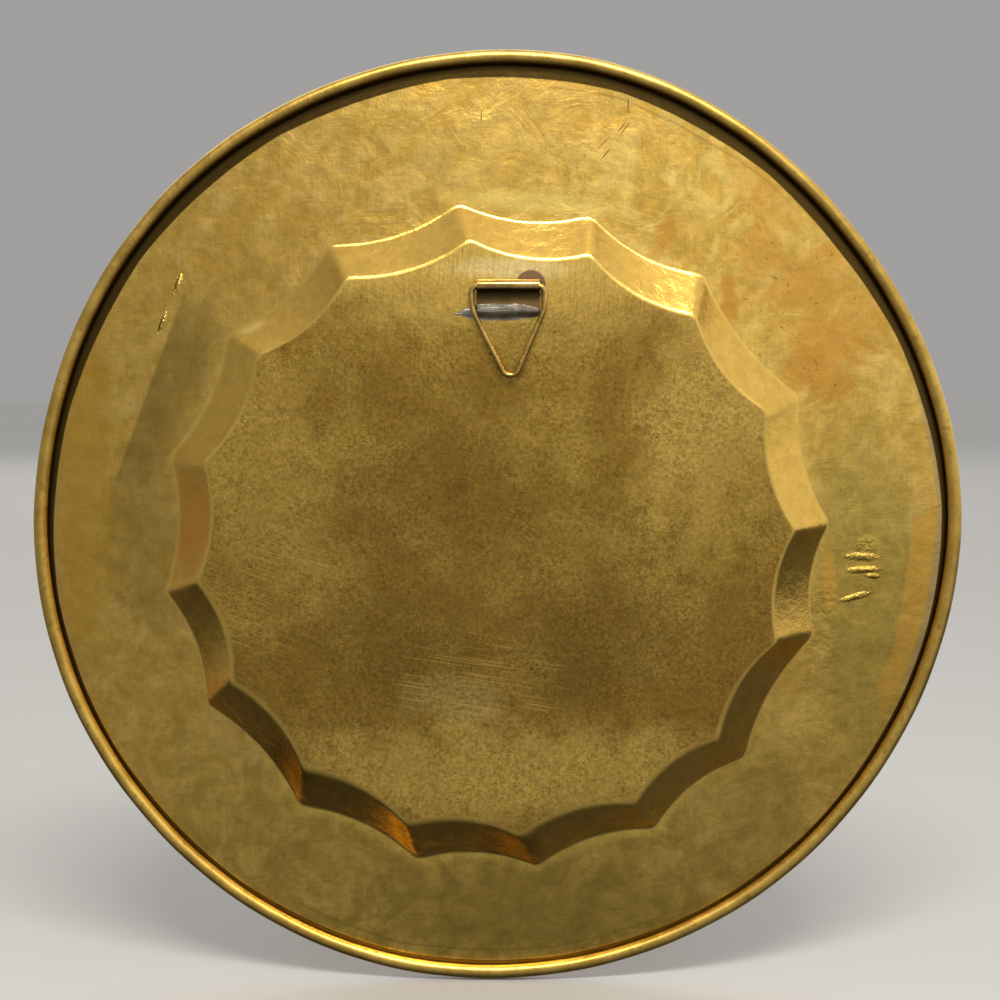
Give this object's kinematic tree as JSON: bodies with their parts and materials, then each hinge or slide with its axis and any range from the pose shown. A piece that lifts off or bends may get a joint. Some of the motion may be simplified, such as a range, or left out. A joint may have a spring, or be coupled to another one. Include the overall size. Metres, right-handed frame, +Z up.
{
  "type": "enamelled brass wall plate",
  "caption": "Round pressed-brass wall plate with a star-shaped well, a rolled rim, a soldered strap and a swinging wire hanging ring on its back.",
  "frame": {"origin": "middle of the strap's knuckle, on the axis that the hanging ring turns about", "axes": "+Y out of the plate's back, towards the wall; -Y out of its enamelled front; +Z up as it hangs; X across, with -X to the right when the back is looked at"},
  "size_m": [0.254, 0.0162, 0.255],
  "materials": {
    "plate_brass": "aged satin brass, duller on the well, enamelled in colours on the front",
    "strap_brass": "dark tarnished brass with a bright top",
    "ring_wire": "drawn brass wire, dark below and polished where it is handled",
    "solder": "dull grey soft solder with a few brighter smears"
  },
  "bodies": {
    "plate": {"plate": "plate_brass", "hanger_strap": "strap_brass", "solder_seam": "solder"},
    "ring": {"hanging_ring": "ring_wire"}
  },
  "joints": [
    {"name": "ring_swing", "type": "hinge", "parent": "plate", "child": "ring", "pos_m": [0, 0, 0], "axis": [1, 0, 0], "range_deg": [-3, 183]}
  ]
}
